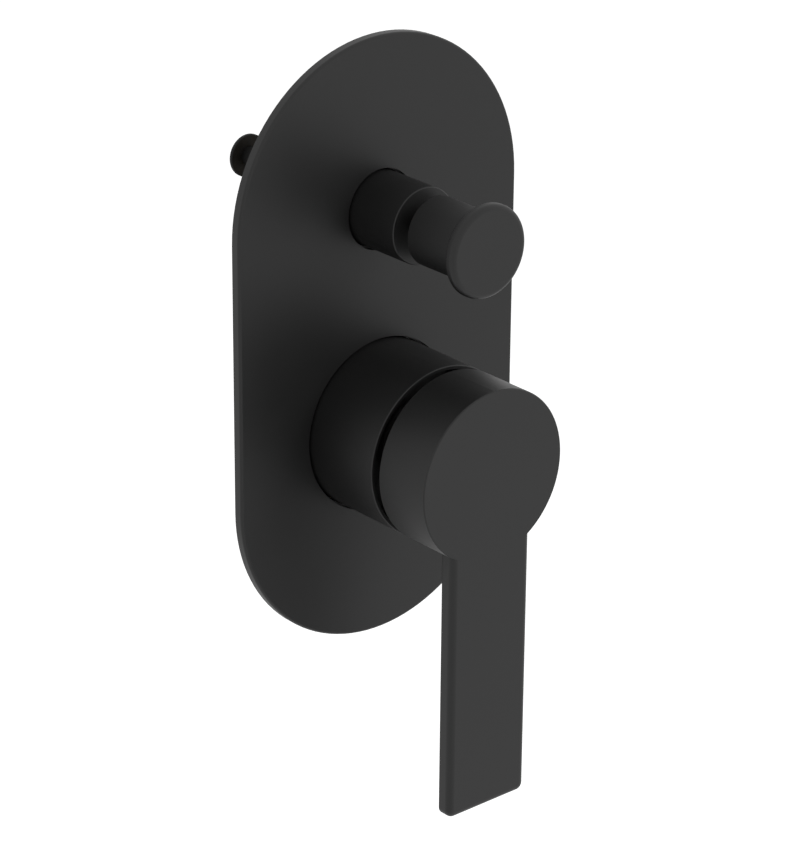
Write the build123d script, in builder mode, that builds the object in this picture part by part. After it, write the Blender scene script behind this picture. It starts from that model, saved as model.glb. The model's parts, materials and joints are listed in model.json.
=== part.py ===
from build123d import *
import math
import os

# A concealed single-lever shower mixer with a pull-out diverter, in millimetres.
# X runs to the right, Y runs into the wall and Z runs up. The origin is on the finished
# wall face, halfway between the lever's axis and the diverter's axis.

# Axes
axis_spacing = 64.4
lever_z = -axis_spacing / 2
diverter_z = axis_spacing / 2

# Wall plate
plate_width = 100.0
plate_height = 179.0
plate_thickness = 3.0
plate_drop = 7.35
plate_edge_radius = 0.8
plate_hole_gap = 0.7
seal_inset = 3.0
seal_width = 4.0
seal_depth = 1.2

# Sleeves
sleeve_rim_chamfer = 0.22
sleeve_back_clearance = 0.6
main_sleeve_clearance = 2.15
main_sleeve_wall = 1.1
main_sleeve_reach = 29.2
diverter_sleeve_clearance = 1.2
diverter_sleeve_wall = 1.3
diverter_sleeve_reach = 21.0
diverter_sleeve_front_wall = 2.0

# Rings that centre the plate on the sleeves
bush_clearance = 0.3
bush_wall = 3.7
bush_recess = 1.0
bush_recess_clearance = 0.05
main_bush_depth = 3.5
diverter_bush_depth = 3.0
bush_ring_thickness = 1.7

# Lever handle
lever_gap = 3.4
cap_depth = 18.5
cap_skirt_wall = 2.25
cap_face_thickness = 5.0
cap_rim_chamfer = 0.3
cap_rib_count = 6
cap_rib_thickness = 2.4
cap_rib_depth = 3.0
hub_radius = 8.5
hub_clearance = 5.5
bar_width = 28.7
bar_length = 102.7
bar_thickness = 4.8
bar_front_radius = 1.9
bar_back_radius = 0.5
bar_tip_radius = 2.4

# Ceramic cartridge, 35 mm
seat_depth = 11.0
cartridge_radius = 17.5
cartridge_clearance = 0.1
base_thickness = 3.0
base_rim_wall = 0.7
base_rim_height = 3.0
base_clearance = 0.1
peg_radius = 2.0
peg_length = 2.7
peg_spread = 11.0
peg_rise = 7.0
clip_count = 4
clip_start_angle = 45.0
clip_width = 4.4
clip_height = 1.8
clip_gap = 0.3
fixed_disc_radius = 14.6
fixed_disc_thickness = 3.5
moving_disc_radius = 11.0
moving_disc_thickness = 3.0
carriage_radius = 11.5
carriage_thickness = 5.5
flange_radius = 14.0
flange_thickness = 2.0
flange_play = 0.1
housing_wall = 1.9
shoulder_thickness = 2.0
neck_length = 10.3
neck_radius = 12.3
collar_radius = 10.02
running_clearance = 0.06

# Water ports of the cartridge
port_circle_radius = 8.5
port_radius = 3.4
port_angles = (90.0, 215.0, 325.0)
port_arc = 36.0
port_slot_width = 5.1
shut_off_overlap = 0.5
pocket_width = 14.3
pocket_rise = 7.15
pocket_corner_radius = 2.4
port_seal_wall = 1.2
port_seal_thickness = 0.8

# Stem of the cartridge
stem_width = 8.0
stem_arm = 10.0
stem_reach = 28.9
stem_boss_radius = 4.6
stem_shank_radius = 1.9
stem_neck_radius = 3.5
stem_neck_length = 4.0
stem_taper_length = 3.5
stem_tip_chamfer = 0.8
boss_clearance = 0.3
ball_radius = 2.3
ball_depth = 1.4
ball_clearance = 0.3
pin_radius = 1.5
pin_overhang = 0.5
slot_clearance = 0.2
lift_angle = 20.0
guide_rib_width = 1.6
guide_rib_height = 1.0
guide_rib_length = 10.0
guide_spread = 8.5
guide_clearance = 0.3
drive_peg_radius = 1.2
drive_peg_height = 1.2

# Grub screws
handle_screw_radius = 2.5
handle_screw_length = 9.0
handle_screw_setback = 3.5
knob_screw_radius = 2.0
knob_screw_length = 6.0
screw_clearance = 0.05
screw_boss_wall = 1.2
screw_tip_chamfer = 0.8
screw_socket_depth = 2.4
plug_length = 2.6
plug_recess = 0.25
plug_chamfer = 0.2

# Retaining nut
nut_thread_step = 1.4
nut_clearance = 0.1
nut_head_step = 0.1
nut_head_depth = 4.5
neck_clearance = 0.2

# Brass body
chimney_wall = 3.0
chimney_reach = 13.0
housing_floor = 2.5
ring_groove_slack = 0.3
sleeve_ring_groove_depth = 1.2
front_ring_depth = -8.5
rear_ring_depth = -1.5
ring_play = 0.02
column_radius = 8.5
column_setback = 1.5
duct_radius = 4.5
duct_wall = 1.5
inlet_spread = 15.0
inlet_drop = 48.0
inlet_duct_spread = 10.0
socket_depth = 16.0
socket_sides = 8
socket_flats = 25.0
socket_collar = 13.0
socket_chamfer = 0.8
socket_neck_radius = 11.6
thread_bore_radius = 10.478
thread_length = 13.0
thread_chamfer = 1.0
top_outlet_rise = 28.0
side_outlet_reach = 40.0
side_outlet_setback = 7.5
outlet_duct_radius = 2.8
ear_spacing = 44.0
ear_radius = 7.0
ear_hole_radius = 2.75
ear_thickness = 5.0
ear_edge_radius = 1.2
rib_thickness = 4.0
rib_spread = 13.0

# Diverter
diverter_face = 6.6
diverter_wall = 4.0
diverter_bore_radius = 9.5
rear_seat_depth = 25.0
rear_seat_land = 2.1
rear_chamber_length = 5.0
rear_wall = 3.0
bonnet_flats = 21.0
spanner_clearance = 0.4
bonnet_flange_thickness = 2.6
bonnet_washer_thickness = 0.8
bonnet_washer_overhang = 0.7
bonnet_clearance = 0.1
bonnet_nose_radius = 8.6
bonnet_nose_reach = 13.6
bonnet_thread_length = 2.6
bonnet_waist_radius = 7.5
bonnet_waist_length = 3.4
bonnet_rim_thickness = 1.4
bonnet_seat_land = 2.6
bonnet_floor = 0.9
bonnet_window_radius = 1.4
bonnet_ring_depth = -8.0
bonnet_ring_groove_depth = 1.2
gland_flats = 14.0
gland_depth = 5.0
gland_thread_radius = 5.0
rod_radius = 3.0
rod_seal_thickness = 1.8
rod_hole_clearance = 0.35
rod_engagement = 14.6
washer_thickness = 3.0
washer_gap = 0.9
spool_wall = 2.2
spool_core_wall = 1.2
spool_flange = 1.5
seat_play = 0.05
clip_ring_thickness = 0.6
clip_ring_wall = 1.8
clip_ring_mouth = 3.75
clip_groove_depth = 0.5

# Diverter knob and the disc on the rod's rear end
knob_gap = 4.4
knob_radius = 10.0
knob_neck_length = 19.7
knob_flange_radius = 13.3
knob_flange_thickness = 2.9
knob_edge_radius = 1.6
knob_flange_back_radius = 0.3
knob_inner_chamfer = 0.4
end_disc_radius = 6.4
end_disc_thickness = 1.4
end_disc_back = 57.4
end_disc_edge_radius = 0.4

# Depths along Y that follow from the sizes above
cap_back = -(main_sleeve_reach + lever_gap)
cap_front = cap_back - cap_depth
base_front = seat_depth - base_thickness
fixed_front = base_front - fixed_disc_thickness
moving_front = fixed_front - moving_disc_thickness
carriage_front = moving_front - carriage_thickness
flange_back = carriage_front - flange_play
flange_front = flange_back - flange_thickness
shoulder_inside = flange_front - flange_play
shoulder = shoulder_inside - shoulder_thickness
neck_front = shoulder - neck_length
pivot_depth = carriage_front + ball_depth - stem_arm
hub_back = neck_front - hub_clearance
stem_tip = pivot_depth - stem_reach
screw_depth = stem_tip + handle_screw_setback
nut_head_front = -chimney_reach - nut_head_depth
washer_front = diverter_face - bonnet_washer_thickness
bonnet_front = washer_front - bonnet_flange_thickness
waist_front = diverter_face + bonnet_thread_length
waist_back = waist_front + bonnet_waist_length
front_seat_depth = waist_back + bonnet_rim_thickness
cavity_front = diverter_face + bonnet_floor
spool_washer_back = rear_seat_depth - seat_play
spool_washer_front = spool_washer_back - washer_thickness
spool_front = spool_washer_front - spool_flange
spool_back = spool_washer_back + spool_flange
rear_chamber_back = rear_seat_depth + rear_chamber_length
rear_chamber_middle = rear_seat_depth + rear_chamber_length / 2
diverter_back = rear_chamber_back + rear_wall
side_outlet_depth = rear_chamber_middle - side_outlet_setback
duct_depth = seat_depth + duct_wall + duct_radius
column_depth = duct_depth - column_setback
housing_back = duct_depth + duct_radius + housing_floor
gland_back = diverter_back + gland_depth
knob_back = -(diverter_sleeve_reach + knob_gap)
flange_seat = knob_back - knob_neck_length
knob_front = flange_seat - knob_flange_thickness
rod_tip = knob_back - rod_engagement
end_disc_front = end_disc_back - end_disc_thickness
knob_screw_depth = knob_back - knob_neck_length / 2
window_depth = (waist_front + waist_back) / 2
main_sleeve_back = socket_depth - socket_neck_radius - sleeve_back_clearance
diverter_sleeve_back = bonnet_front - sleeve_back_clearance

# Radii that follow from the sizes above, from the cartridge and the rod outwards
nut_thread_radius = cartridge_radius + nut_thread_step
chimney_radius = nut_thread_radius + nut_clearance + chimney_wall
main_sleeve_bore = chimney_radius + main_sleeve_clearance
main_sleeve_radius = main_sleeve_bore + main_sleeve_wall
cap_radius = main_sleeve_radius
cap_bore = cap_radius - cap_skirt_wall
housing_bore = cartridge_radius - housing_wall
collar_bore = collar_radius + running_clearance
stem_half = stem_width / 2
rod_bore = rod_radius + running_clearance
diverter_sleeve_bore = bonnet_nose_radius + diverter_sleeve_clearance
diverter_sleeve_radius = diverter_sleeve_bore + diverter_sleeve_wall
bonnet_body_radius = diverter_bore_radius - bonnet_clearance
diverter_boss_radius = diverter_bore_radius + diverter_wall
washer_radius = diverter_bore_radius - washer_gap
rear_chamber_radius = washer_radius - rear_seat_land
bonnet_cavity_radius = washer_radius - bonnet_seat_land
spool_radius = rod_radius + spool_wall
spool_core_radius = rod_radius + spool_core_wall
clip_ring_radius = rod_radius + clip_ring_wall
sleeve_ring_floor = chimney_radius - sleeve_ring_groove_depth
nose_ring_floor = bonnet_nose_radius - bonnet_ring_groove_depth
sleeve_ring_width = main_sleeve_bore - sleeve_ring_floor + ring_groove_slack
nose_ring_width = diverter_sleeve_bore - nose_ring_floor + ring_groove_slack


def facing(depth, height=0.0, across=0.0):
    """A plane across the Y axis, seen from the front: its x runs right and its y runs up."""
    return Plane(origin=(across, depth, height), x_dir=(1, 0, 0), z_dir=(0, -1, 0))


def disc(radius, front, back, height, across=0.0, mode=Mode.ADD):
    """A cylinder along Y between two depths."""
    with BuildSketch(facing(back, height, across)) as face:
        Circle(radius)
    extrude(face.sketch, amount=back - front, mode=mode)


def hexagon(flats, front, back, height):
    """A hexagonal prism along Y, measured across its flats."""
    with BuildSketch(facing(back, height)) as face:
        RegularPolygon(flats / 2, side_count=6, major_radius=False)
    extrude(face.sketch, amount=back - front)


def socket_end(plane, across, up):
    """The octagonal end of a pipe socket, on a plane square to the pipe."""
    with BuildSketch(plane) as face:
        with Locations((across, up)):
            RegularPolygon(
                socket_flats / 2,
                socket_sides,
                major_radius=False,
                rotation=180 / socket_sides,
            )
    extrude(face.sketch, amount=socket_collar)


def block(across, depths, heights, mode=Mode.ADD):
    """A block between pairs of X, Y and Z values."""
    middle_x = (across[0] + across[1]) / 2
    middle_z = (heights[0] + heights[1]) / 2
    with BuildSketch(facing(depths[1], middle_z, middle_x)) as face:
        Rectangle(across[1] - across[0], heights[1] - heights[0])
    extrude(face.sketch, amount=depths[1] - depths[0], mode=mode)


def upright(radius, across, depth, low, high, mode=Mode.ADD):
    """A cylinder along Z between two heights."""
    with BuildSketch(Plane.XY.offset(low)) as face:
        with Locations((across, depth)):
            Circle(radius)
    extrude(face.sketch, amount=high - low, mode=mode)


def sideways(radius, depth, height, left, right, mode=Mode.ADD):
    """A cylinder along X between two X values."""
    with BuildSketch(Plane.YZ.offset(left)) as face:
        with Locations((depth, height)):
            Circle(radius)
    extrude(face.sketch, amount=right - left, mode=mode)


def turned(points, height, mode=Mode.ADD):
    """A turned form round an axis along Y, from (depth, radius) points."""
    with BuildSketch(Plane.YZ) as section:
        with BuildLine():
            Polyline([(depth, height + radius) for depth, radius in points], close=True)
        make_face()
    revolve(section.sketch, axis=Axis((0, 0, height), (0, 1, 0)), mode=mode)


def seal_band():
    """Outline of the foam strip: a stadium band inside the plate's edge."""
    with BuildSketch(facing(0, -plate_drop)) as band:
        for inset, mode in ((seal_inset, Mode.ADD), (seal_inset + seal_width, Mode.SUBTRACT)):
            SlotOverall(plate_height - 2 * inset, plate_width - 2 * inset, rotation=90, mode=mode)
    return band.sketch


def ring(floor_radius, outer_radius, depth, height):
    """An O-ring round an axis along Y, between the radii of its groove and its bore."""
    section_radius = (outer_radius - floor_radius) / 2 - ring_play / 2
    with BuildSketch(Plane.YZ) as section:
        with Locations((depth, height + (outer_radius + floor_radius) / 2)):
            Circle(section_radius)
    revolve(section.sketch, axis=Axis((0, 0, height), (0, 1, 0)))


def groove(inner_radius, outer_radius, width, depth, height):
    """Cuts a square-sided ring groove centred on a depth."""
    front = depth - width / 2
    back = depth + width / 2
    turned(
        [(front, inner_radius), (back, inner_radius), (back, outer_radius), (front, outer_radius)],
        height,
        mode=Mode.SUBTRACT,
    )


def save(builder, name):
    """Labels a finished piece and writes it to its own file."""
    builder.part.label = name
    export_step(builder.part, f"parts/{name}.step")


os.makedirs("parts", exist_ok=True)

# Wall plate: a flat stadium with two holes, recesses for the bushes and a seal groove
with BuildPart() as wall_plate:
    with BuildSketch(facing(0, -plate_drop)):
        SlotOverall(plate_height, plate_width, rotation=90)
    extrude(amount=plate_thickness)
    fillet(wall_plate.faces().sort_by(Axis.Y)[0].edges(), plate_edge_radius)
    for radius, height in ((main_sleeve_radius, lever_z), (diverter_sleeve_radius, diverter_z)):
        bush_radius = radius + bush_clearance + bush_wall
        disc(radius + plate_hole_gap, -plate_thickness, 0, height, mode=Mode.SUBTRACT)
        disc(bush_radius + bush_recess_clearance, -bush_recess, 0, height, mode=Mode.SUBTRACT)
    extrude(seal_band(), amount=seal_depth, mode=Mode.SUBTRACT)
save(wall_plate, "wall_plate")

# Foam strip in the plate's groove, flush with its back
with BuildPart() as plate_seal:
    extrude(seal_band(), amount=seal_depth)
save(plate_seal, "plate_seal")


def make_bush(name, sleeve_radius, depth, height):
    """A bush set in the plate's recess, and the O-ring in it that grips the sleeve."""
    bore = sleeve_radius + bush_clearance
    floor = sleeve_radius + bush_ring_thickness
    middle = depth / 2 - bush_recess
    with BuildPart() as bush:
        disc(bore + bush_wall, -bush_recess, depth - bush_recess, height)
        disc(bore, -bush_recess, depth - bush_recess, height, mode=Mode.SUBTRACT)
        groove(sleeve_radius, floor, bush_ring_thickness, middle, height)
    save(bush, name)
    with BuildPart() as bush_ring:
        ring(sleeve_radius, floor, middle, height)
    save(bush_ring, f"{name}_ring")


make_bush("main_bush", main_sleeve_radius, main_bush_depth, lever_z)
make_bush("diverter_bush", diverter_sleeve_radius, diverter_bush_depth, diverter_z)

# Sleeve round the cartridge, open at both ends
with BuildPart() as main_sleeve:
    turned(
        [
            (-main_sleeve_reach, main_sleeve_bore),
            (-main_sleeve_reach, main_sleeve_radius - sleeve_rim_chamfer),
            (-main_sleeve_reach + sleeve_rim_chamfer, main_sleeve_radius),
            (main_sleeve_back, main_sleeve_radius),
            (main_sleeve_back, main_sleeve_bore),
        ],
        lever_z,
    )
save(main_sleeve, "main_sleeve")

# Sleeve of the diverter, closed at the front but for the rod's hole
sleeve_rod_hole = rod_radius + rod_hole_clearance
with BuildPart() as diverter_sleeve:
    turned(
        [
            (-diverter_sleeve_reach, sleeve_rod_hole),
            (-diverter_sleeve_reach, diverter_sleeve_radius - sleeve_rim_chamfer),
            (-diverter_sleeve_reach + sleeve_rim_chamfer, diverter_sleeve_radius),
            (diverter_sleeve_back, diverter_sleeve_radius),
            (diverter_sleeve_back, diverter_sleeve_bore),
            (-diverter_sleeve_reach + diverter_sleeve_front_wall, diverter_sleeve_bore),
            (-diverter_sleeve_reach + diverter_sleeve_front_wall, sleeve_rod_hole),
        ],
        diverter_z,
    )
save(diverter_sleeve, "diverter_sleeve")

# Brass body: cartridge housing, diverter housing, column, sockets and fixing ears
nut_bore_back = shoulder + shoulder_thickness / 2
inlet_low = lever_z - inlet_drop
top_outlet_end = diverter_z + top_outlet_rise
port_x = port_circle_radius * math.cos(math.radians(port_angles[2]))
port_z = port_circle_radius * math.sin(math.radians(port_angles[2]))

# Web with a fixing ear at each end, its edges rounded as cast
with BuildPart() as ear_web:
    with BuildSketch(facing(housing_back)):
        SlotCenterToCenter(ear_spacing, 2 * ear_radius)
    extrude(amount=ear_thickness)
    web_faces = ear_web.faces().sort_by(Axis.Y)
    fillet(web_faces[0].edges() + web_faces[-1].edges(), ear_edge_radius)

with BuildPart() as valve_body:
    turned(
        [
            (-chimney_reach, 0),
            (-chimney_reach, chimney_radius - thread_chamfer),
            (-chimney_reach + thread_chamfer, chimney_radius),
            (housing_back - 2 * thread_chamfer, chimney_radius),
            (housing_back, chimney_radius - 2 * thread_chamfer),
            (housing_back, 0),
        ],
        lever_z,
    )
    turned(
        [
            (diverter_face, 0),
            (diverter_face, diverter_boss_radius),
            (diverter_back - thread_chamfer, diverter_boss_radius),
            (diverter_back, diverter_boss_radius - thread_chamfer),
            (diverter_back, 0),
        ],
        diverter_z,
    )
    upright(column_radius, 0, column_depth, lever_z, diverter_z)
    # Two inlets from below, with octagonal ends
    for side in (-1, 1):
        upright(socket_neck_radius, side * inlet_spread, socket_depth, inlet_low, lever_z)
        socket_end(Plane.XY.offset(inlet_low), side * inlet_spread, socket_depth)
        with Locations((side * inlet_spread, socket_depth, lever_z)):
            Sphere(socket_neck_radius)
    # Outlet at the top
    upright(socket_neck_radius, 0, socket_depth, diverter_z, top_outlet_end)
    socket_end(Plane.XY.offset(top_outlet_end - socket_collar), 0, socket_depth)
    # Outlet at the side
    sideways(socket_neck_radius, side_outlet_depth, diverter_z, 0, side_outlet_reach)
    socket_end(Plane.YZ.offset(side_outlet_reach - socket_collar), side_outlet_depth, diverter_z)
    # Broken edges at the mouths of the four sockets
    for mouths in (
        valve_body.faces().group_by(Axis.Z)[0],
        valve_body.faces().group_by(Axis.Z)[-1],
        valve_body.faces().group_by(Axis.X)[-1],
    ):
        chamfer(mouths.edges(), socket_chamfer)
    # Fixing ears, braced to the cartridge housing
    add(ear_web.part)
    for side in (-1, 1):
        block(
            (side * rib_spread - rib_thickness / 2, side * rib_spread + rib_thickness / 2),
            (housing_back - 2 * ear_thickness, housing_back),
            (lever_z, 0),
        )
        disc(
            ear_hole_radius,
            housing_back - 2 * ear_thickness,
            housing_back,
            0,
            across=side * ear_spacing / 2,
            mode=Mode.SUBTRACT,
        )
    # Cartridge bore, its thread and its seat
    disc(
        cartridge_radius + cartridge_clearance,
        -chimney_reach,
        seat_depth,
        lever_z,
        mode=Mode.SUBTRACT,
    )
    disc(
        nut_thread_radius + nut_clearance,
        -chimney_reach,
        nut_bore_back,
        lever_z,
        mode=Mode.SUBTRACT,
    )
    for side in (-1, 1):
        disc(
            peg_radius + cartridge_clearance,
            seat_depth,
            seat_depth + peg_length + cartridge_clearance,
            lever_z + peg_rise,
            across=side * peg_spread,
            mode=Mode.SUBTRACT,
        )
    for depth in (front_ring_depth, rear_ring_depth):
        groove(sleeve_ring_floor, chimney_radius, sleeve_ring_width, depth, lever_z)
    # Hot and cold ducts from the inlets to the seat
    for side in (-1, 1):
        upright(
            thread_bore_radius,
            side * inlet_spread,
            socket_depth,
            inlet_low,
            inlet_low + thread_length,
            mode=Mode.SUBTRACT,
        )
        upright(
            duct_radius,
            side * inlet_duct_spread,
            duct_depth,
            inlet_low + thread_length,
            lever_z + port_z,
            mode=Mode.SUBTRACT,
        )
        disc(
            port_radius,
            seat_depth,
            duct_depth,
            lever_z + port_z,
            across=side * port_x,
            mode=Mode.SUBTRACT,
        )
    # Mixed water up to the diverter
    disc(port_radius, seat_depth, duct_depth, lever_z + port_circle_radius, mode=Mode.SUBTRACT)
    upright(
        duct_radius,
        0,
        duct_depth,
        lever_z + port_circle_radius,
        diverter_z,
        mode=Mode.SUBTRACT,
    )
    # Spot face for the diverter head's hexagon, bore, rear chamber and gland hole
    disc(
        bonnet_flats / math.sqrt(3) + spanner_clearance,
        0,
        diverter_face,
        diverter_z,
        mode=Mode.SUBTRACT,
    )
    disc(diverter_bore_radius, diverter_face, rear_seat_depth, diverter_z, mode=Mode.SUBTRACT)
    disc(
        rear_chamber_radius,
        rear_seat_depth,
        rear_chamber_back,
        diverter_z,
        mode=Mode.SUBTRACT,
    )
    disc(gland_thread_radius, rear_chamber_back, diverter_back, diverter_z, mode=Mode.SUBTRACT)
    # Outlet ducts and threads
    upright(
        outlet_duct_radius,
        0,
        window_depth,
        diverter_z + bonnet_waist_radius,
        top_outlet_end,
        mode=Mode.SUBTRACT,
    )
    upright(
        thread_bore_radius,
        0,
        socket_depth,
        top_outlet_end - thread_length,
        top_outlet_end,
        mode=Mode.SUBTRACT,
    )
    sideways(
        outlet_duct_radius,
        rear_chamber_middle,
        diverter_z,
        0,
        side_outlet_reach - thread_length,
        mode=Mode.SUBTRACT,
    )
    sideways(
        thread_bore_radius,
        side_outlet_depth,
        diverter_z,
        side_outlet_reach - thread_length,
        side_outlet_reach,
        mode=Mode.SUBTRACT,
    )
save(valve_body, "valve_body")

# O-rings that the main sleeve pushes over
for position, depth in (("front", front_ring_depth), ("rear", rear_ring_depth)):
    with BuildPart() as sleeve_ring:
        ring(sleeve_ring_floor, main_sleeve_bore, depth, lever_z)
    save(sleeve_ring, f"main_sleeve_ring_{position}")

# Ring nut that holds the cartridge down
with BuildPart() as retaining_nut:
    disc(nut_thread_radius, -chimney_reach, shoulder, lever_z)
    hexagon(2 * (nut_thread_radius + nut_head_step), nut_head_front, -chimney_reach, lever_z)
    disc(neck_radius + neck_clearance, nut_head_front, shoulder, lever_z, mode=Mode.SUBTRACT)
save(retaining_nut, "retaining_nut")

# Cartridge shell: wide skirt, shoulder and neck, with windows for the base's clips
clip_middle = base_front - base_rim_height / 2
with BuildPart() as cartridge_housing:
    turned(
        [
            (neck_front, collar_bore),
            (neck_front, neck_radius),
            (shoulder, neck_radius),
            (shoulder, cartridge_radius),
            (base_front, cartridge_radius),
            (base_front, housing_bore),
            (shoulder_inside, housing_bore),
            (shoulder_inside, collar_bore),
        ],
        lever_z,
    )
    with BuildSketch(facing(clip_middle, lever_z)):
        with PolarLocations(cartridge_radius, clip_count, start_angle=clip_start_angle):
            Rectangle(2 * housing_wall + clip_gap, clip_width + 2 * clip_gap)
    extrude(amount=clip_height / 2 + clip_gap, both=True, mode=Mode.SUBTRACT)
save(cartridge_housing, "cartridge_housing")

# Cartridge base: ports, pegs, rim round the fixed disc and clips
rim_radius = housing_bore - base_clearance
port_centres = [
    (
        port_circle_radius * math.cos(math.radians(angle)),
        port_circle_radius * math.sin(math.radians(angle)),
    )
    for angle in port_angles
]
with BuildPart() as cartridge_base:
    disc(cartridge_radius, base_front, seat_depth, lever_z)
    rim_front = base_front - base_rim_height
    turned(
        [
            (rim_front, rim_radius - base_rim_wall),
            (rim_front, rim_radius),
            (base_front, rim_radius),
            (base_front, rim_radius - base_rim_wall),
        ],
        lever_z,
    )
    with BuildSketch(facing(clip_middle, lever_z)):
        with PolarLocations(rim_radius - base_rim_wall, clip_count, start_angle=clip_start_angle):
            Rectangle(2 * housing_wall, clip_width, align=(Align.MIN, Align.CENTER))
        Circle(rim_radius - base_rim_wall, mode=Mode.SUBTRACT)
        Circle(cartridge_radius - clip_gap, mode=Mode.INTERSECT)
    extrude(amount=clip_height / 2, both=True)
    for side in (-1, 1):
        disc(
            peg_radius,
            seat_depth,
            seat_depth + peg_length,
            lever_z + peg_rise,
            across=side * peg_spread,
        )
    for x, z in port_centres:
        disc(port_radius, base_front, seat_depth, lever_z + z, across=x, mode=Mode.SUBTRACT)
        disc(
            port_radius + port_seal_wall,
            seat_depth - port_seal_thickness,
            seat_depth,
            lever_z + z,
            across=x,
            mode=Mode.SUBTRACT,
        )
save(cartridge_base, "cartridge_base")

# Seals between the base's ports and the body's seat
with BuildPart() as port_seals:
    with BuildSketch(facing(seat_depth, lever_z)):
        with Locations(*port_centres):
            Circle(port_radius + port_seal_wall)
        with Locations(*port_centres):
            Circle(port_radius, mode=Mode.SUBTRACT)
    extrude(amount=port_seal_thickness)
save(port_seals, "port_seals")

# Fixed ceramic disc with three curved ports
with BuildPart() as fixed_disc:
    disc(fixed_disc_radius, fixed_front, base_front, lever_z)
    with BuildSketch(facing(base_front, lever_z)):
        for angle in port_angles:
            start = angle - port_arc / 2
            middle = CenterArc((0, 0), port_circle_radius, start, port_arc, mode=Mode.PRIVATE)
            SlotArc(middle, port_slot_width)
    extrude(amount=fixed_disc_thickness, mode=Mode.SUBTRACT)
save(fixed_disc, "fixed_disc")

# Moving ceramic disc with a mixing pocket that bridges the ports
slide_travel = stem_arm * math.sin(math.radians(lift_angle))
pocket_low = port_z + port_slot_width / 2 + shut_off_overlap
pocket_depth = moving_disc_thickness / 2
with BuildPart() as moving_disc:
    disc(moving_disc_radius, moving_front, fixed_front, lever_z)
    with BuildSketch(facing(fixed_front, lever_z + (pocket_low + pocket_rise) / 2)):
        RectangleRounded(pocket_width, pocket_rise - pocket_low, pocket_corner_radius)
    extrude(amount=pocket_depth, mode=Mode.SUBTRACT)
    for side in (-1, 1):
        disc(
            drive_peg_radius + slot_clearance,
            moving_front,
            moving_front + drive_peg_height + slot_clearance,
            lever_z - moving_disc_radius / 2,
            across=side * moving_disc_radius / 2,
            mode=Mode.SUBTRACT,
        )
save(moving_disc, "moving_disc")

# Carriage that the stem's ball slides, with the moving disc on its pegs
pocket_half = ball_radius + ball_clearance
with BuildPart() as disc_carriage:
    disc(carriage_radius, carriage_front, moving_front, lever_z)
    block(
        (-pocket_half, pocket_half),
        (carriage_front, carriage_front + ball_depth + pocket_half),
        (lever_z - pocket_half, lever_z + pocket_half),
        mode=Mode.SUBTRACT,
    )
    for side in (-1, 1):
        disc(
            drive_peg_radius,
            moving_front,
            moving_front + drive_peg_height,
            lever_z - moving_disc_radius / 2,
            across=side * moving_disc_radius / 2,
        )
        block(
            (side * guide_spread - guide_rib_width / 2, side * guide_spread + guide_rib_width / 2),
            (carriage_front - guide_rib_height, carriage_front),
            (lever_z - guide_rib_length / 2, lever_z + guide_rib_length / 2),
        )
save(disc_carriage, "disc_carriage")

# Turning collar that carries the stem's pin, slotted so that the stem can tilt
lift = math.radians(lift_angle)
slot_half = stem_half + slot_clearance
front_reach = pivot_depth - neck_front
back_reach = flange_back - pivot_depth
slot_top = front_reach * math.tan(lift) + stem_half / math.cos(lift) + 2 * slot_clearance
slot_bottom = back_reach * math.tan(lift) + stem_neck_radius / math.cos(lift) + slot_clearance
guide_slot_half = guide_rib_width / 2 + slot_clearance
with BuildPart() as stem_carrier:
    disc(collar_radius, neck_front, flange_front, lever_z)
    disc(flange_radius, flange_front, flange_back, lever_z)
    block(
        (-slot_half, slot_half),
        (neck_front, pivot_depth),
        (lever_z - stem_half - slot_clearance, lever_z + slot_top),
        mode=Mode.SUBTRACT,
    )
    block(
        (-slot_half, slot_half),
        (pivot_depth, flange_back),
        (lever_z - slot_bottom, lever_z + stem_boss_radius),
        mode=Mode.SUBTRACT,
    )
    sideways(
        stem_boss_radius + boss_clearance,
        pivot_depth,
        lever_z,
        -slot_half,
        slot_half,
        mode=Mode.SUBTRACT,
    )
    sideways(
        pin_radius,
        pivot_depth,
        lever_z,
        -collar_radius,
        collar_radius,
        mode=Mode.SUBTRACT,
    )
    for side in (-1, 1):
        block(
            (side * guide_spread - guide_slot_half, side * guide_spread + guide_slot_half),
            (flange_back - guide_rib_height, flange_back),
            (
                lever_z - guide_rib_length / 2 - slide_travel - guide_clearance,
                lever_z + guide_rib_length / 2 + guide_clearance,
            ),
            mode=Mode.SUBTRACT,
        )
save(stem_carrier, "stem_carrier")

# Cross pin of the stem
pin_half = collar_radius - pin_overhang
with BuildPart() as stem_pin:
    sideways(pin_radius, pivot_depth, lever_z, -pin_half, pin_half)
save(stem_pin, "stem_pin")

# Cartridge stem: square end for the handle, boss on the pin, tapered shank and ball
ball_middle = pivot_depth + stem_arm
neck_end = pivot_depth + stem_neck_length
with BuildPart() as cartridge_stem:
    block(
        (-stem_half, stem_half),
        (stem_tip, pivot_depth - stem_half),
        (lever_z - stem_half, lever_z + stem_half),
    )
    chamfer(cartridge_stem.faces().sort_by(Axis.Y)[0].edges(), stem_tip_chamfer)
    block(
        (-stem_half, stem_half),
        (pivot_depth - stem_half, pivot_depth),
        (lever_z - stem_half, lever_z + stem_half),
    )
    sideways(stem_boss_radius, pivot_depth, lever_z, -stem_half, stem_half)
    turned(
        [
            (pivot_depth, 0),
            (pivot_depth, stem_neck_radius),
            (neck_end, stem_neck_radius),
            (neck_end + stem_taper_length, stem_shank_radius),
            (ball_middle, stem_shank_radius),
            (ball_middle, 0),
        ],
        lever_z,
    )
    with Locations((0, ball_middle, lever_z)):
        Sphere(ball_radius)
    sideways(
        pin_radius + running_clearance,
        pivot_depth,
        lever_z,
        -stem_half,
        stem_half,
        mode=Mode.SUBTRACT,
    )
save(cartridge_stem, "cartridge_stem")

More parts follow.
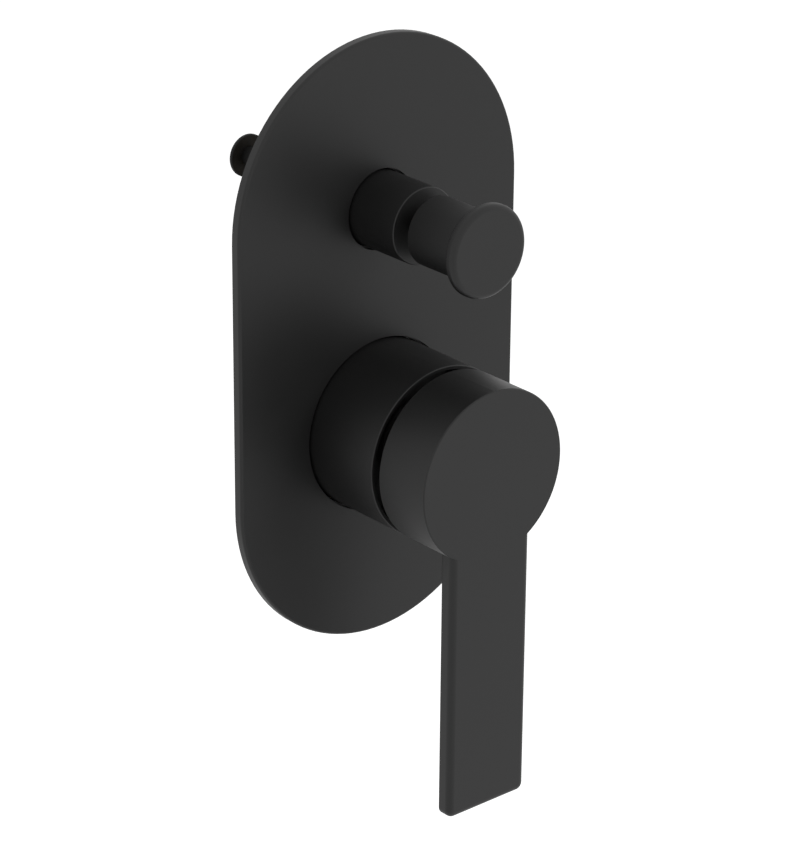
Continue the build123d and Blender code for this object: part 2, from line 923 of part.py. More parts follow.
# Lever handle: a round cap and a flat bar in one piece, faces flush, hollow behind
cavity_depth = cap_front + cap_face_thickness
socket_half = stem_half + screw_clearance
screw_bore = handle_screw_radius + screw_clearance
with BuildPart() as lever_handle:
    block(
        (-bar_width / 2, bar_width / 2),
        (cap_front, cap_front + bar_thickness),
        (lever_z - bar_length, lever_z),
    )
    fillet(
        lever_handle.edges().filter_by(Axis.Y).group_by(Axis.Z)[0],
        bar_tip_radius,
    )
    top_edges = lever_handle.faces().sort_by(Axis.Z)[-1].edges()
    front_edges = lever_handle.faces().sort_by(Axis.Y)[0].edges() - top_edges
    back_edges = lever_handle.faces().sort_by(Axis.Y)[-1].edges() - top_edges
    fillet(front_edges, bar_front_radius)
    fillet(back_edges, bar_back_radius)
    turned(
        [
            (cap_front, 0),
            (cap_front, cap_radius - cap_rim_chamfer),
            (cap_front + cap_rim_chamfer, cap_radius),
            (cap_back, cap_radius),
            (cap_back, cap_bore),
            (cavity_depth, cap_bore),
            (cavity_depth, hub_radius),
            (hub_back, hub_radius),
            (hub_back, 0),
        ],
        lever_z,
    )
    # Ribs across the hollow, between the hub and the skirt
    with BuildSketch(facing(cavity_depth, lever_z)):
        with PolarLocations(0, cap_rib_count):
            Rectangle(
                cap_bore + cap_skirt_wall / 2,
                cap_rib_thickness,
                align=(Align.MIN, Align.CENTER),
            )
    extrude(amount=-cap_rib_depth)
    # Boss for the grub screw, from the hub down to the skirt
    boss_radius = screw_bore + screw_boss_wall
    upright(
        boss_radius,
        0,
        screw_depth,
        lever_z - cap_bore - cap_skirt_wall / 2,
        lever_z - hub_radius / 2,
    )
    upright(
        screw_bore,
        0,
        screw_depth,
        lever_z - cap_radius,
        lever_z - stem_half,
        mode=Mode.SUBTRACT,
    )
    block(
        (-socket_half, socket_half),
        (stem_tip - screw_clearance, hub_back),
        (lever_z - socket_half, lever_z + socket_half),
        mode=Mode.SUBTRACT,
    )
save(lever_handle, "lever_handle")


def make_grub_screw(name, radius, length, across_flats, depth, tip_height):
    """A hexagon socket grub screw along Z, with its tip up."""
    low = tip_height - length
    with BuildPart() as screw:
        upright(radius, 0, depth, low, tip_height)
        chamfer(screw.edges().sort_by(Axis.Z)[-1], screw_tip_chamfer)
        with BuildSketch(Plane.XY.offset(low)):
            with Locations((0, depth)):
                RegularPolygon(across_flats / 2, 6, major_radius=False)
        extrude(amount=screw_socket_depth, mode=Mode.SUBTRACT)
    save(screw, name)


make_grub_screw(
    "handle_grub_screw",
    handle_screw_radius,
    handle_screw_length,
    handle_screw_radius,
    screw_depth,
    lever_z - stem_half,
)

# Plug that closes the screw's hole from below
with BuildPart() as screw_plug:
    plug_low = lever_z - cap_radius + plug_recess
    upright(handle_screw_radius, 0, screw_depth, plug_low, plug_low + plug_length)
    chamfer(screw_plug.edges().sort_by(Axis.Z)[0], plug_chamfer)
save(screw_plug, "screw_plug")

# Diverter head: nose for the sleeve, hexagon, thread and the front valve seat
with BuildPart() as diverter_bonnet:
    turned(
        [
            (-bonnet_nose_reach, rod_bore),
            (-bonnet_nose_reach, bonnet_nose_radius - thread_chamfer),
            (-bonnet_nose_reach + thread_chamfer, bonnet_nose_radius),
            (bonnet_front, bonnet_nose_radius),
            (washer_front, bonnet_nose_radius),
            (washer_front, bonnet_body_radius),
            (waist_front, bonnet_body_radius),
            (waist_front, bonnet_waist_radius),
            (waist_back, bonnet_waist_radius),
            (waist_back, bonnet_body_radius),
            (front_seat_depth, bonnet_body_radius),
            (front_seat_depth, bonnet_cavity_radius),
            (cavity_front, bonnet_cavity_radius),
            (cavity_front, rod_bore),
        ],
        diverter_z,
    )
    with BuildSketch(facing(washer_front, diverter_z)):
        RegularPolygon(bonnet_flats / 2, 6, major_radius=False)
        Circle(bonnet_waist_radius, mode=Mode.SUBTRACT)
    extrude(amount=bonnet_flange_thickness)
    groove(nose_ring_floor, bonnet_nose_radius, nose_ring_width, bonnet_ring_depth, diverter_z)
    groove(rod_radius, rod_bore + rod_seal_thickness, rod_seal_thickness, 0, diverter_z)
    sideways(
        bonnet_window_radius,
        window_depth,
        diverter_z,
        -bonnet_waist_radius,
        bonnet_waist_radius,
        mode=Mode.SUBTRACT,
    )
    upright(
        bonnet_window_radius,
        0,
        window_depth,
        diverter_z - bonnet_waist_radius,
        diverter_z + bonnet_waist_radius,
        mode=Mode.SUBTRACT,
    )
save(diverter_bonnet, "diverter_bonnet")

# Fibre washer under the head's hexagon
with BuildPart() as bonnet_washer:
    washer_bore = diverter_bore_radius
    washer_rim = bonnet_flats / 2 + bonnet_washer_overhang
    turned(
        [
            (washer_front, washer_bore),
            (washer_front, washer_rim),
            (diverter_face, washer_rim),
            (diverter_face, washer_bore),
        ],
        diverter_z,
    )
save(bonnet_washer, "bonnet_washer")

with BuildPart() as diverter_sleeve_ring:
    ring(nose_ring_floor, diverter_sleeve_bore, bonnet_ring_depth, diverter_z)
save(diverter_sleeve_ring, "diverter_sleeve_ring")

with BuildPart() as rod_seal:
    ring(rod_bore, rod_bore + rod_seal_thickness, 0, diverter_z)
save(rod_seal, "rod_seal")

# Gland nut and seal where the rod leaves the body at the back
gland_seal_depth = (diverter_back + gland_back) / 2
with BuildPart() as rear_gland:
    hexagon(gland_flats, diverter_back, gland_back, diverter_z)
    disc(gland_thread_radius - screw_clearance, rear_chamber_back, diverter_back, diverter_z)
    disc(rod_bore, rear_chamber_back, gland_back, diverter_z, mode=Mode.SUBTRACT)
    groove(
        rod_radius,
        rod_bore + rod_seal_thickness,
        rod_seal_thickness,
        gland_seal_depth,
        diverter_z,
    )
save(rear_gland, "rear_gland")

with BuildPart() as gland_seal:
    ring(rod_bore, rod_bore + rod_seal_thickness, gland_seal_depth, diverter_z)
save(gland_seal, "gland_seal")

# Diverter rod, from the knob through the body to the disc at the back
clip_ring_bore = rod_radius - clip_groove_depth
front_clip_depth = spool_front - clip_ring_thickness / 2
rear_clip_depth = spool_back + clip_ring_thickness / 2
with BuildPart() as diverter_rod:
    disc(rod_radius, rod_tip, end_disc_front + end_disc_thickness / 2, diverter_z)
    for depth in (front_clip_depth, rear_clip_depth):
        groove(clip_ring_bore, rod_radius, clip_ring_thickness, depth, diverter_z)
save(diverter_rod, "diverter_rod")

# Brass spool with a waist that holds the valve washer
with BuildPart() as diverter_spool:
    turned(
        [
            (spool_front, rod_radius),
            (spool_front, spool_radius),
            (spool_washer_front, spool_radius),
            (spool_washer_front, spool_core_radius),
            (spool_washer_back, spool_core_radius),
            (spool_washer_back, spool_radius),
            (spool_back, spool_radius),
            (spool_back, rod_radius),
        ],
        diverter_z,
    )
save(diverter_spool, "diverter_spool")

with BuildPart() as diverter_washer:
    turned(
        [
            (spool_washer_front, spool_core_radius),
            (spool_washer_front, washer_radius),
            (spool_washer_back, washer_radius),
            (spool_washer_back, spool_core_radius),
        ],
        diverter_z,
    )
save(diverter_washer, "diverter_washer")

# Open clips in the rod's grooves, one each side of the spool
with BuildPart() as spool_clips:
    for depth in (front_clip_depth, rear_clip_depth):
        back = depth + clip_ring_thickness / 2
        with BuildSketch(facing(back, diverter_z)):
            Circle(clip_ring_radius)
            Circle(clip_ring_bore, mode=Mode.SUBTRACT)
            Rectangle(
                clip_ring_mouth,
                2 * clip_ring_radius,
                align=(Align.CENTER, Align.MAX),
                mode=Mode.SUBTRACT,
            )
        extrude(amount=clip_ring_thickness)
save(spool_clips, "spool_clips")

# Diverter knob: round neck and flanged face, bored for the rod
with BuildPart() as diverter_knob:
    turned(
        [
            (knob_back, 0),
            (knob_back, knob_radius - knob_inner_chamfer),
            (knob_back - knob_inner_chamfer, knob_radius),
            (flange_seat, knob_radius),
            (flange_seat, knob_flange_radius),
            (knob_front, knob_flange_radius),
            (knob_front, 0),
        ],
        diverter_z,
    )
    fillet(diverter_knob.edges().sort_by(Axis.Y)[0], knob_edge_radius)
    flange_rims = diverter_knob.edges().filter_by(GeomType.CIRCLE).group_by(SortBy.RADIUS)[-1]
    fillet(flange_rims.sort_by(Axis.Y)[-1], knob_flange_back_radius)
    disc(rod_radius, rod_tip - screw_clearance, knob_back, diverter_z, mode=Mode.SUBTRACT)
    upright(
        knob_screw_radius,
        0,
        knob_screw_depth,
        diverter_z - knob_radius,
        diverter_z - rod_radius,
        mode=Mode.SUBTRACT,
    )
save(diverter_knob, "diverter_knob")

make_grub_screw(
    "knob_grub_screw",
    knob_screw_radius - screw_clearance,
    knob_screw_length,
    knob_screw_radius,
    knob_screw_depth,
    diverter_z - rod_radius,
)

# Disc on the rod's rear end
with BuildPart() as rod_end_disc:
    disc(end_disc_radius, end_disc_front, end_disc_back, diverter_z)
    fillet(rod_end_disc.edges().filter_by(GeomType.CIRCLE), end_disc_edge_radius)
    disc(
        rod_radius,
        end_disc_front,
        end_disc_front + end_disc_thickness / 2,
        diverter_z,
        mode=Mode.SUBTRACT,
    )
save(rod_end_disc, "rod_end_disc")
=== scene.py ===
import json
import math

import bmesh
import bpy
from mathutils import Matrix, Vector


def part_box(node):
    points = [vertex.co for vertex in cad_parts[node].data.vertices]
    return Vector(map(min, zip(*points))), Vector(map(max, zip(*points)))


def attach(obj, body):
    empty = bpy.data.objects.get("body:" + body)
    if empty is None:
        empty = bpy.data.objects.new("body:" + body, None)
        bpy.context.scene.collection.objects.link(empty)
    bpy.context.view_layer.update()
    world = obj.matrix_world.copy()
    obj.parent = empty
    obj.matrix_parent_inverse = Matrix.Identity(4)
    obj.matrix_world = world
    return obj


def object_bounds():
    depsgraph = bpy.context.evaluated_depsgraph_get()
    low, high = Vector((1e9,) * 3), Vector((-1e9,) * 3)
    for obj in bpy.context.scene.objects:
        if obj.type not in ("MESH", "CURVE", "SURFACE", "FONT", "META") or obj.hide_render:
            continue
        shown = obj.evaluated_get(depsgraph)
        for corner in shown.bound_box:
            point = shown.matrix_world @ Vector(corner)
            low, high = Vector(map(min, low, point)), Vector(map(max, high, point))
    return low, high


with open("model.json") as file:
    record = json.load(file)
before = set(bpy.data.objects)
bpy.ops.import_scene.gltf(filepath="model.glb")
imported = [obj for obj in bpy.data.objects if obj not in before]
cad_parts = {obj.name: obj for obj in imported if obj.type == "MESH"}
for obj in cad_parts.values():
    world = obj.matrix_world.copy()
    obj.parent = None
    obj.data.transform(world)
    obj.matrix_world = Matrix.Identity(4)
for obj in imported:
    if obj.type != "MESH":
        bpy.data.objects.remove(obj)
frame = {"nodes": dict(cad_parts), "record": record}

CAD_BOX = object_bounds()
MOUNTS = {row["name"]: row for row in frame["record"]["mounts"]}
PIPE_SOCKETS = [row for row in MOUNTS.values() if row["kind"] == "threaded_hole"]
MM = 0.001

# Camera, as fitted to the photograph; its clip distances are in metres
PHOTO_SIZE = (803, 850)
AZIMUTH = math.radians(40.662)
ELEVATION = math.radians(23.194)
ROLL = math.radians(0.487)
FOCAL_PX = 3406.7
DISTANCE = 0.9573
AIM_PX = (380.72, 341.95)
SENSOR_MM = 36.0
CLIP_START = 0.01
CLIP_END = 50.0

# Colours, linear
COAT = (0.0067, 0.0067, 0.0067)
DARK_COAT = (0.0033, 0.0033, 0.0033)
BRASS = (0.78, 0.58, 0.28)
CAST_DARK = (0.52, 0.36, 0.15)
CAST_PALE = (0.68, 0.5, 0.24)
STEEL = (0.6, 0.6, 0.61)
BLACK_PLASTIC = (0.012, 0.012, 0.012)
PALE_PLASTIC = (0.62, 0.62, 0.6)
CERAMIC = (0.83, 0.82, 0.78)
RUBBER = (0.015, 0.015, 0.015)
FOAM = (0.02, 0.02, 0.02)
FIBRE = (0.3, 0.06, 0.04)
FLOOR_GREY = (0.8, 0.8, 0.8)
WHITE = (1.0, 1.0, 1.0)

# How much paler or darker a material's second tone is
COAT_TONE = 1.25
TURNED_TONE = 0.85
MOULDED_TONE = 1.15

# Textures: scales in cycles for each metre, heights in metres
COAT_DRIFT_SCALE = 40.0
COAT_PEEL_SCALE = 2600.0
SAND_SCALE = 900.0
SAND_HEIGHT = 0.00025
CAST_PATCH_SCALE = 60.0
RING_SCALE = 900.0
RING_HEIGHT = 0.00003
SMUDGE_SCALE = 120.0
MOULDED_GRAIN_SCALE = 1500.0
MOULDED_DRIFT_SCALE = 80.0
FOAM_GRAIN_SCALE = 700.0

# Roughness: how far it drifts, its range on cast skin, and what cutting takes away
COAT_DRIFT = 0.015
MOULDED_DRIFT = 0.05
SMUDGE_SMOOTHER = 0.05
SMUDGE_ROUGHER = 0.08
CAST_ROUGHNESS = (0.42, 0.58)
CUT_SMOOTHER = 0.2
# Index of refraction of the black coats
COAT_IOR = 1.45

# Cast body, in metres: where its turned faces end, its mould seam and its passages
TURNED_DEPTH = 0.003
REAR_FACE_DEPTH = 0.0025
CAST_HALF_WIDTH = 0.015
SEAM_HALF_WIDTH = 0.0003
PASSAGE_DEPTH = 0.038
# Height of the seam, as a share of the sand's
SEAM_HEIGHT_SHARE = 1.5

# Pipe thread G1/2: its pitch, and how far its ridge stands in, in metres
THREAD_PITCH = 0.001814
THREAD_DEPTH = 0.001162
# Sections in each turn, and how many of them it takes to rise or fade out at an end
THREAD_STEPS = 48
THREAD_FADE_STEPS = 16
# Plain wall before and after the ridge, in pitches
THREAD_INSET = 0.5
# Across the ridge: place along the pitch and height, as shares of pitch and depth
THREAD_SECTION = (
    (-0.44, -0.06), (-0.1, 0.93), (-0.04, 1.0), (0.04, 1.0), (0.1, 0.93), (0.44, -0.06),
)

# Floor: how far it lies below the part and how far it reaches, in metres
FLOOR_DROP = 0.45
FLOOR_REACH = 20.0
# Light that it gives off to the camera alone, on top of what it reflects
FLOOR_GLOW = 0.6

# Studio light: the level of the world, and two soft boxes with their width in metres
WORLD_LIGHT = 0.55
LAMP_WIDTH = 0.8
KEY_PLACE = (0.9, -1.2, 0.9)
KEY_WATTS = 18.6
FILL_PLACE = (-1.2, -0.9, 0.4)
FILL_WATTS = 1.8


def add_object(name, data):
    """A new object in the scene."""
    item = bpy.data.objects.new(name, data)
    bpy.context.scene.collection.objects.link(item)
    return item


def add_camera():
    """The camera that sees the plate's front centre at AIM_PX."""
    plate_low, plate_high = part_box("wall_plate")
    aim = (plate_low + plate_high) / 2
    aim.y = plate_low.y
    forward = Vector((
        math.sin(AZIMUTH) * math.cos(ELEVATION),
        math.cos(AZIMUTH) * math.cos(ELEVATION),
        -math.sin(ELEVATION),
    ))
    level = Vector((math.cos(AZIMUTH), -math.sin(AZIMUTH), 0.0))
    upright = level.cross(forward)
    right = level * math.cos(ROLL) + upright * math.sin(ROLL)
    up = -level * math.sin(ROLL) + upright * math.cos(ROLL)
    aside = (AIM_PX[0] - PHOTO_SIZE[0] / 2) / FOCAL_PX * DISTANCE
    above = -(AIM_PX[1] - PHOTO_SIZE[1] / 2) / FOCAL_PX * DISTANCE
    place = aim - right * aside - up * above - forward * DISTANCE
    data = bpy.data.cameras.new("photo_camera")
    data.sensor_width = SENSOR_MM
    data.lens = SENSOR_MM * FOCAL_PX / max(PHOTO_SIZE)
    data.clip_start = CLIP_START
    data.clip_end = CLIP_END
    camera = add_object("photo_camera", data)
    turn = Matrix((right, up, -forward)).transposed().to_4x4()
    camera.matrix_world = Matrix.Translation(place) @ turn
    bpy.context.scene.camera = camera


def new_material(name):
    """An empty node material and its node tree."""
    material = bpy.data.materials.new(name)
    material.use_nodes = True
    material.node_tree.nodes.clear()
    return material, material.node_tree


def add_node(tree, kind, inputs=None, **settings):
    """A shader node with its settings, and its inputs set or linked."""
    node = tree.nodes.new(kind)
    for key, value in settings.items():
        setattr(node, key, value)
    for key, value in (inputs or {}).items():
        if isinstance(value, bpy.types.NodeSocket):
            tree.links.new(value, node.inputs[key])
        else:
            node.inputs[key].default_value = value
    return node


def math_node(tree, operation, first, second=0.0):
    """The result of one operation on two values or sockets."""
    return add_node(tree, "ShaderNodeMath", {0: first, 1: second}, operation=operation).outputs[0]


def vector_node(tree, operation, first, second):
    """The outputs of one operation on two vectors."""
    inputs = {0: first, 1: second}
    return add_node(tree, "ShaderNodeVectorMath", inputs, operation=operation).outputs


def object_coordinates(tree):
    """Places in the row frame, in metres."""
    return add_node(tree, "ShaderNodeTexCoord").outputs["Object"]


def noise(tree, where, scale, detail=3.0, roughness=0.5):
    """Noise whose scale is in cycles for each metre."""
    return add_node(
        tree,
        "ShaderNodeTexNoise",
        {"Vector": where, "Scale": scale, "Detail": detail, "Roughness": roughness},
    ).outputs["Fac"]


def spread(tree, value, low=0.0, high=1.0, start=0.3, end=0.7):
    """Maps start to low and end to high; the usual start and end fit the noise."""
    return add_node(
        tree,
        "ShaderNodeMapRange",
        {"Value": value, "From Min": start, "From Max": end, "To Min": low, "To Max": high},
    ).outputs["Result"]


def toned(colour, share):
    """A paler or darker tone of a colour."""
    return tuple(min(1.0, c * share) for c in colour)


def with_alpha(colour):
    """A colour as a node takes it: a socket as it is, three values with a fourth."""
    return colour if isinstance(colour, bpy.types.NodeSocket) else (*colour, 1.0)


def mixed_colour(tree, factor, first, second):
    """A colour between two colours or sockets."""
    # Colours go into the Mix node's inputs 6 and 7 and come out of its output 2
    return add_node(
        tree,
        "ShaderNodeMix",
        {0: factor, 6: with_alpha(first), 7: with_alpha(second)},
        data_type="RGBA",
    ).outputs[2]


def bump(tree, height, distance):
    """A bump whose distance is in metres."""
    return add_node(
        tree, "ShaderNodeBump", {"Height": height, "Distance": distance, "Strength": 1.0}
    ).outputs["Normal"]


def finish_material(tree, inputs):
    """A Principled surface as the material's output."""
    surface = add_node(tree, "ShaderNodeBsdfPrincipled", inputs)
    add_node(tree, "ShaderNodeOutputMaterial", {"Surface": surface.outputs["BSDF"]})


def coat_material(name, colour, roughness, grain, sheen):
    """Powder or electroplated black coat: even, with a very fine orange peel."""
    material, tree = new_material(name)
    where = object_coordinates(tree)
    drift = noise(tree, where, COAT_DRIFT_SCALE)
    peel = noise(tree, where, COAT_PEEL_SCALE, detail=2.0)
    lighter = toned(colour, COAT_TONE)
    finish_material(tree, {
        "Base Color": mixed_colour(tree, spread(tree, drift), colour, lighter),
        "Roughness": spread(tree, drift, roughness - COAT_DRIFT, roughness + COAT_DRIFT),
        "Normal": bump(tree, peel, grain),
        "IOR": COAT_IOR,
        "Specular IOR Level": sheen,
    })
    return material


def machined_mask(tree, where):
    """1 on the parts of the body that a lathe or mill has cut, and 0 on its cast skin."""
    inlet, top, side = (MOUNTS[name] for name in ("hot_inlet", "top_outlet", "side_outlet"))
    reach = inlet["dims"]["length_mm"] * MM
    rear_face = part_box("rear_gland")[0].y + REAR_FACE_DEPTH
    split = add_node(tree, "ShaderNodeSeparateXYZ", {0: where}).outputs
    right = math_node(tree, "GREATER_THAN", split["X"], side["pos_m"][0] - reach)
    level = math_node(tree, "GREATER_THAN", split["Z"], side["pos_m"][2] - CAST_HALF_WIDTH)
    cut = math_node(tree, "MULTIPLY", right, level)
    for operation, axis, limit in (
        ("LESS_THAN", "Z", inlet["pos_m"][2] + reach),
        ("GREATER_THAN", "Z", top["pos_m"][2] - reach),
        ("LESS_THAN", "Y", TURNED_DEPTH),
        ("GREATER_THAN", "Y", rear_face),
    ):
        beyond = math_node(tree, operation, split[axis], limit)
        cut = math_node(tree, "MAXIMUM", cut, beyond)
    return cut


def inner_passages(tree, where):
    """1 inside the body's pipe passages, which a core forms and not the mould's halves."""
    inside = 0.0
    for mount in PIPE_SOCKETS:
        from_mouth = vector_node(tree, "SUBTRACT", where, mount["pos_m"])["Vector"]
        along = vector_node(tree, "DOT_PRODUCT", from_mouth, mount["axis"])["Value"]
        distance = vector_node(tree, "DOT_PRODUCT", from_mouth, from_mouth)["Value"]
        aside = math_node(tree, "SUBTRACT", distance, math_node(tree, "MULTIPLY", along, along))
        near = math_node(tree, "LESS_THAN", aside, (mount["dims"]["r_mm"] * MM) ** 2)
        deep = math_node(tree, "GREATER_THAN", along, -PASSAGE_DEPTH)
        inside = math_node(tree, "MAXIMUM", inside, math_node(tree, "MULTIPLY", near, deep))
    return inside


def parting_line(tree, where):
    """1 on the thin seam that the two halves of the mould leave outside the casting."""
    split = add_node(tree, "ShaderNodeSeparateXYZ", {0: where}).outputs
    from_plane = math_node(tree, "SUBTRACT", split["Y"], MOUNTS["hot_inlet"]["pos_m"][1])
    away = math_node(tree, "ABSOLUTE", from_plane)
    seam = spread(tree, away, low=1.0, high=0.0, start=0.0, end=SEAM_HALF_WIDTH)
    outside = math_node(tree, "SUBTRACT", 1.0, inner_passages(tree, where))
    return math_node(tree, "MULTIPLY", seam, outside)


def cast_brass_material(name):
    """Cast brass: pitted skin with a mould seam, and bright where it is machined."""
    material, tree = new_material(name)
    where = object_coordinates(tree)
    cut = machined_mask(tree, where)
    skin = math_node(tree, "SUBTRACT", 1.0, cut)
    sand = noise(tree, where, SAND_SCALE, detail=6.0, roughness=0.65)
    patches = noise(tree, where, CAST_PATCH_SCALE, detail=4.0)
    cast = mixed_colour(tree, spread(tree, patches), CAST_DARK, CAST_PALE)
    rough = spread(tree, patches, *CAST_ROUGHNESS)
    smoother = math_node(tree, "MULTIPLY", cut, CUT_SMOOTHER)
    seam = math_node(tree, "MULTIPLY", parting_line(tree, where), SEAM_HEIGHT_SHARE)
    height = math_node(tree, "MULTIPLY", math_node(tree, "ADD", sand, seam), skin)
    finish_material(tree, {
        "Base Color": mixed_colour(tree, cut, cast, BRASS),
        "Metallic": 1.0,
        "Roughness": math_node(tree, "SUBTRACT", rough, smoother),
        "Normal": bump(tree, height, SAND_HEIGHT),
    })
    return material


def turned_material(name, colour, axis_height, roughness):
    """Turned metal: fine rings round an axis along Y at a height."""
    material, tree = new_material(name)
    where = object_coordinates(tree)
    centred = add_node(
        tree, "ShaderNodeMapping", {"Vector": where, "Location": (0.0, 0.0, -axis_height)}
    ).outputs["Vector"]
    rings = add_node(
        tree,
        "ShaderNodeTexWave",
        {"Vector": centred, "Scale": RING_SCALE, "Distortion": 0.6, "Detail": 2.0},
        wave_type="RINGS",
        rings_direction="Y",
    ).outputs["Fac"]
    smudge = noise(tree, where, SMUDGE_SCALE)
    darker = toned(colour, TURNED_TONE)
    smooth, rough = roughness - SMUDGE_SMOOTHER, roughness + SMUDGE_ROUGHER
    finish_material(tree, {
        "Base Color": mixed_colour(tree, spread(tree, smudge), darker, colour),
        "Metallic": 1.0,
        "Roughness": spread(tree, smudge, smooth, rough),
        "Normal": bump(tree, rings, RING_HEIGHT),
    })
    return material


def moulded_material(name, colour, roughness, grain, scale=MOULDED_GRAIN_SCALE):
    """Moulded plastic, rubber, fibre or ceramic with a fine grain."""
    material, tree = new_material(name)
    where = object_coordinates(tree)
    fine = noise(tree, where, scale, detail=4.0)
    broad = noise(tree, where, MOULDED_DRIFT_SCALE)
    paler = toned(colour, MOULDED_TONE)
    finish_material(tree, {
        "Base Color": mixed_colour(tree, spread(tree, broad), colour, paler),
        "Roughness": spread(tree, broad, roughness - MOULDED_DRIFT, roughness + MOULDED_DRIFT),
        "Normal": bump(tree, fine, grain),
    })
    return material


def make_materials():
    """One material for each slot of the record, each made by its function and values."""
    sleeve_low, sleeve_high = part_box("diverter_sleeve")
    diverter_z = (sleeve_low.z + sleeve_high.z) / 2
    recipes = {
        "matt_black": (coat_material, {
            "colour": COAT, "roughness": 0.46, "grain": 0.000006, "sheen": 0.47,
        }),
        "black_rod": (coat_material, {
            "colour": DARK_COAT, "roughness": 0.6, "grain": 0.000004, "sheen": 0.25,
        }),
        "cast_brass": (cast_brass_material, {}),
        "turned_brass": (turned_material, {
            "colour": BRASS, "roughness": 0.28, "axis_height": diverter_z,
        }),
        "stainless_steel": (turned_material, {
            "colour": STEEL, "roughness": 0.25, "axis_height": diverter_z,
        }),
        "black_plastic": (moulded_material, {
            "colour": BLACK_PLASTIC, "roughness": 0.5, "grain": 0.00002,
        }),
        "cartridge_plastic": (moulded_material, {
            "colour": PALE_PLASTIC, "roughness": 0.45, "grain": 0.00001,
        }),
        "ceramic": (moulded_material, {
            "colour": CERAMIC, "roughness": 0.2, "grain": 0.000003,
        }),
        "seal_rubber": (moulded_material, {
            "colour": RUBBER, "roughness": 0.6, "grain": 0.00001,
        }),
        "seal_foam": (moulded_material, {
            "colour": FOAM, "roughness": 0.9, "grain": 0.0002, "scale": FOAM_GRAIN_SCALE,
        }),
        "fibre": (moulded_material, {
            "colour": FIBRE, "roughness": 0.8, "grain": 0.00005,
        }),
    }
    return {name: make(name, **values) for name, (make, values) in recipes.items()}


def dress_nodes(materials):
    """Gives each CAD node the material of its slot."""
    slots = {row["node"]: row["material_slot"] for row in frame["record"]["subparts"]}
    for name, node in frame["nodes"].items():
        node.data.materials.clear()
        node.data.materials.append(materials[slots[name]])


def add_socket_thread(mount, material):
    """The helical ridge in a pipe socket, standing inward from the socket's wall."""
    inward = -Vector(mount["axis"])
    first = inward.orthogonal().normalized()
    second = inward.cross(first)
    mouth = Vector(mount["pos_m"])
    root = mount["dims"]["r_mm"] * MM
    turns = mount["dims"]["length_mm"] * MM / THREAD_PITCH - 2 * THREAD_INSET
    steps = int(turns * THREAD_STEPS)
    mesh = bmesh.new()
    rows = []
    for step in range(steps + 1):
        angle = 2 * math.pi * step / THREAD_STEPS
        outer = first * math.cos(angle) + second * math.sin(angle)
        along = THREAD_PITCH * (THREAD_INSET + step / THREAD_STEPS)
        size = min(1.0, step / THREAD_FADE_STEPS, (steps - step) / THREAD_FADE_STEPS)
        rows.append([
            mesh.verts.new(
                mouth
                + inward * (along + share * THREAD_PITCH)
                + outer * (root - height * THREAD_DEPTH * (size if height > 0 else 1.0))
            )
            for share, height in THREAD_SECTION
        ])
    count = len(THREAD_SECTION)
    for low, high in zip(rows, rows[1:]):
        for k in range(count):
            after = (k + 1) % count
            mesh.faces.new((low[k], low[after], high[after], high[k]))
    mesh.faces.new(rows[0][::-1])
    mesh.faces.new(rows[-1])
    bmesh.ops.recalc_face_normals(mesh, faces=mesh.faces)
    data = bpy.data.meshes.new(mount["name"] + "_thread")
    mesh.to_mesh(data)
    mesh.free()
    data.materials.append(material)
    piece = add_object(data.name, data)
    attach(piece, "mixer")


def white_light(tree, kind, strength):
    """The shader of an Emission or Background node that gives off white light."""
    return add_node(tree, kind, {"Color": with_alpha(WHITE), "Strength": strength}).outputs[0]


def mixed_shader(tree, factor, first, second):
    """The first shader where the factor is 0, and the second where it is 1."""
    inputs = {0: factor, 1: first, 2: second}
    return add_node(tree, "ShaderNodeMixShader", inputs).outputs[0]


def ray_kinds(tree):
    """Two masks: rays from the camera, and rays that a surface mirrors or lets through."""
    path = add_node(tree, "ShaderNodeLightPath").outputs
    sharp = math_node(tree, "MAXIMUM", path["Is Glossy Ray"], path["Is Transmission Ray"])
    return path["Is Camera Ray"], sharp


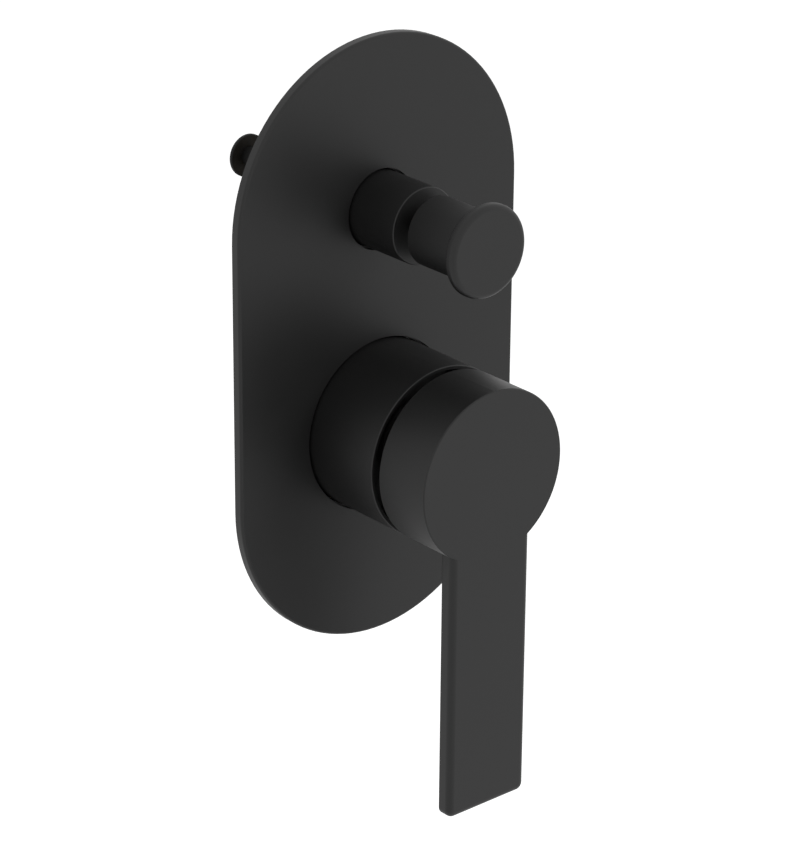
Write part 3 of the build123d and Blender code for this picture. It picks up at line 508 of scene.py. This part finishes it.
def add_floor():
    """A pale floor that shows white to the camera and in reflections, and takes shadows."""
    material, tree = new_material("floor")
    from_camera, sharp = ray_kinds(tree)
    lit = add_node(tree, "ShaderNodeBsdfDiffuse", {"Color": with_alpha(FLOOR_GREY)}).outputs[0]
    glow = white_light(tree, "ShaderNodeEmission", FLOOR_GLOW)
    both = add_node(tree, "ShaderNodeAddShader", {0: lit, 1: glow}).outputs[0]
    direct = mixed_shader(tree, from_camera, lit, both)
    mirrored = white_light(tree, "ShaderNodeEmission", 1.0)
    surface = mixed_shader(tree, sharp, direct, mirrored)
    add_node(tree, "ShaderNodeOutputMaterial", {"Surface": surface})
    height = CAD_BOX[0][2] - FLOOR_DROP
    corners = [
        (across * FLOOR_REACH, deep * FLOOR_REACH, height)
        for across, deep in ((-1, -1), (1, -1), (1, 1), (-1, 1))
    ]
    mesh = bpy.data.meshes.new("floor")
    mesh.from_pydata(corners, [], [(0, 1, 2, 3)])
    mesh.materials.append(material)
    floor = add_object("floor", mesh)


def add_world():
    """White to the camera and in reflections, and a plain grey light on surfaces."""
    world = bpy.data.worlds.new("studio")
    bpy.context.scene.world = world
    world.use_nodes = True
    tree = world.node_tree
    tree.nodes.clear()
    from_camera, sharp = ray_kinds(tree)
    white_rays = math_node(tree, "MAXIMUM", from_camera, sharp)
    ambient = white_light(tree, "ShaderNodeBackground", WORLD_LIGHT)
    white = white_light(tree, "ShaderNodeBackground", 1.0)
    surface = mixed_shader(tree, white_rays, ambient, white)
    add_node(tree, "ShaderNodeOutputWorld", {"Surface": surface})


def add_lamp(name, place, power):
    """A square soft box that shines at the origin and isn't seen in reflections."""
    data = bpy.data.lights.new(name, "AREA")
    data.shape = "SQUARE"
    data.size = LAMP_WIDTH
    data.energy = power
    lamp = add_object(name, data)
    lamp.location = place
    lamp.rotation_euler = (-Vector(place)).to_track_quat("-Z", "Y").to_euler()
    lamp.visible_glossy = False


def add_lights():
    """Soft studio light from the front right and above, and a weak one from the left."""
    add_lamp("key_light", KEY_PLACE, KEY_WATTS)
    add_lamp("fill_light", FILL_PLACE, FILL_WATTS)


add_world()
add_floor()
add_lights()
add_camera()
materials = make_materials()
dress_nodes(materials)
for socket in PIPE_SOCKETS:
    add_socket_thread(socket, materials["turned_brass"])

bpy.context.scene.view_settings.view_transform = "Standard"
